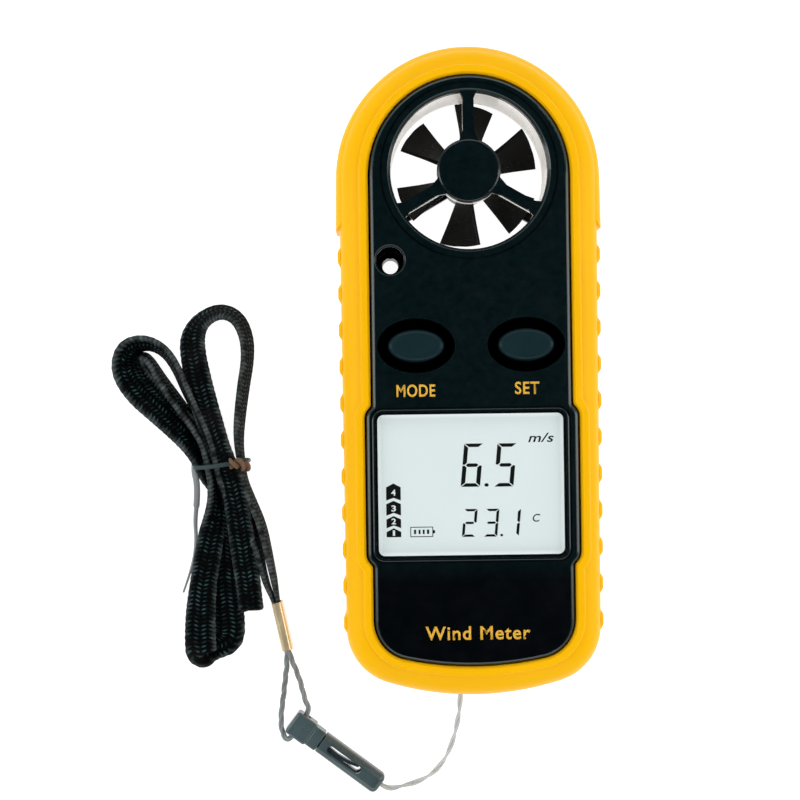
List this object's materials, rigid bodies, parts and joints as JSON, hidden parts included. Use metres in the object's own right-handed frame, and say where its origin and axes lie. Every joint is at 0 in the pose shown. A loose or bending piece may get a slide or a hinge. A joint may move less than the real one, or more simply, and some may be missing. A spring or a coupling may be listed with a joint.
{
  "type": "vane anemometer",
  "caption": "Pocket vane anemometer: rubber-booted case with an open impeller duct, display, two keys, air-temperature hole and a quick-release strap.",
  "frame": {"origin": "under the middle of the instrument, on the plane that its back rests on", "axes": "+Z out of the display face, +Y towards the impeller end, +X to the right of a reader"},
  "size_m": [0.0807, 0.1205, 0.0167],
  "materials": {
    "boot_rubber": "satin moulded elastomer, warm yellow",
    "cover_plastic": "fine-grained moulded ABS, near black",
    "duct_plastic": "off-white moulded plastic",
    "impeller_plastic": "thin black moulded plastic",
    "bearing_jewel": "polished synthetic jewel",
    "steel": "bright steel",
    "magnet": "bonded magnet, dark grey",
    "lens": "clear acrylic window",
    "display_glass": "grey-green liquid crystal cell with black segments",
    "white_plastic": "white reflector sheet",
    "holder_plastic": "black moulded frame",
    "zebra_rubber": "striped conductive elastomer",
    "board": "green solder-masked board",
    "chip": "black epoxy package",
    "contact_metal": "plated spring contact",
    "cell_metal": "nickel-plated cell case",
    "seal_rubber": "black gasket",
    "button_rubber": "dark moulded key",
    "screw_metal": "black-oxide steel",
    "thermistor_epoxy": "epoxy bead",
    "cord_grey": "thin grey braided cord",
    "buckle_plastic": "smooth moulded acetal",
    "ferrule_metal": "bright crimped metal",
    "strap_webbing": "black herringbone woven nylon",
    "tie_plastic": "coated wire tie"
  },
  "bodies": {
    "instrument": {"boot": "boot_rubber", "lanyard_bar": "steel", "front_cover": "cover_plastic", "rear_cover": "cover_plastic", "vane_duct": "duct_plastic", "rear_bridge": "impeller_plastic", "pickup_sensor": "chip", "front_bearing": "bearing_jewel", "rear_bearing": "bearing_jewel", "temperature_sensor": "thermistor_epoxy", "display_lens": "lens", "display_glass": "display_glass", "display_reflector": "white_plastic", "display_holder": "holder_plastic", "zebra_strip": "zebra_rubber", "circuit_board": "board", "board_screws": "steel", "mode_switch": "chip", "set_switch": "chip", "processor_chip": "chip", "crystal": "steel", "coin_cell": "cell_metal", "battery_contact_negative": "contact_metal", "battery_contact_positive": "contact_metal", "case_screws": "screw_metal", "buckle_socket": "buckle_plastic", "lanyard_string": "cord_grey"},
    "impeller": {"impeller": "impeller_plastic", "impeller_axle": "steel", "rotor_magnet": "magnet"},
    "mode_button": {"mode_button": "button_rubber"},
    "set_button": {"set_button": "button_rubber"},
    "battery_cap": {"battery_cap": "cover_plastic", "battery_cap_seal": "seal_rubber"},
    "strap": {"buckle_plug": "buckle_plastic", "loop_ferrule": "ferrule_metal", "narrow_loop": "cord_grey", "neck_strap": "strap_webbing", "strap_tie": "tie_plastic"}
  },
  "joints": [
    {"name": "impeller_spin", "type": "hinge", "parent": "instrument", "child": "impeller", "pos_m": [0, 0.0311, 0.0087], "axis": [0, 0, 1], "continuous": true},
    {"name": "mode_press", "type": "slide", "parent": "instrument", "child": "mode_button", "axis": [0, 0, -1], "range_m": [0, 0.0005], "stiffness_N_per_m": 400, "springref_m": -0.0006},
    {"name": "set_press", "type": "slide", "parent": "instrument", "child": "set_button", "axis": [0, 0, -1], "range_m": [0, 0.0005], "stiffness_N_per_m": 400, "springref_m": -0.0006},
    {"name": "battery_cap_turn", "type": "hinge", "parent": "instrument", "child": "battery_cap", "pos_m": [0, -0.0195, 0.0015], "axis": [0, 0, -1], "range_deg": [0, 60]},
    {"name": "buckle_release", "type": "slide", "parent": "instrument", "child": "strap", "axis": [-0.7986, 0.6018, 0], "range_m": [0, 0.012]}
  ]
}
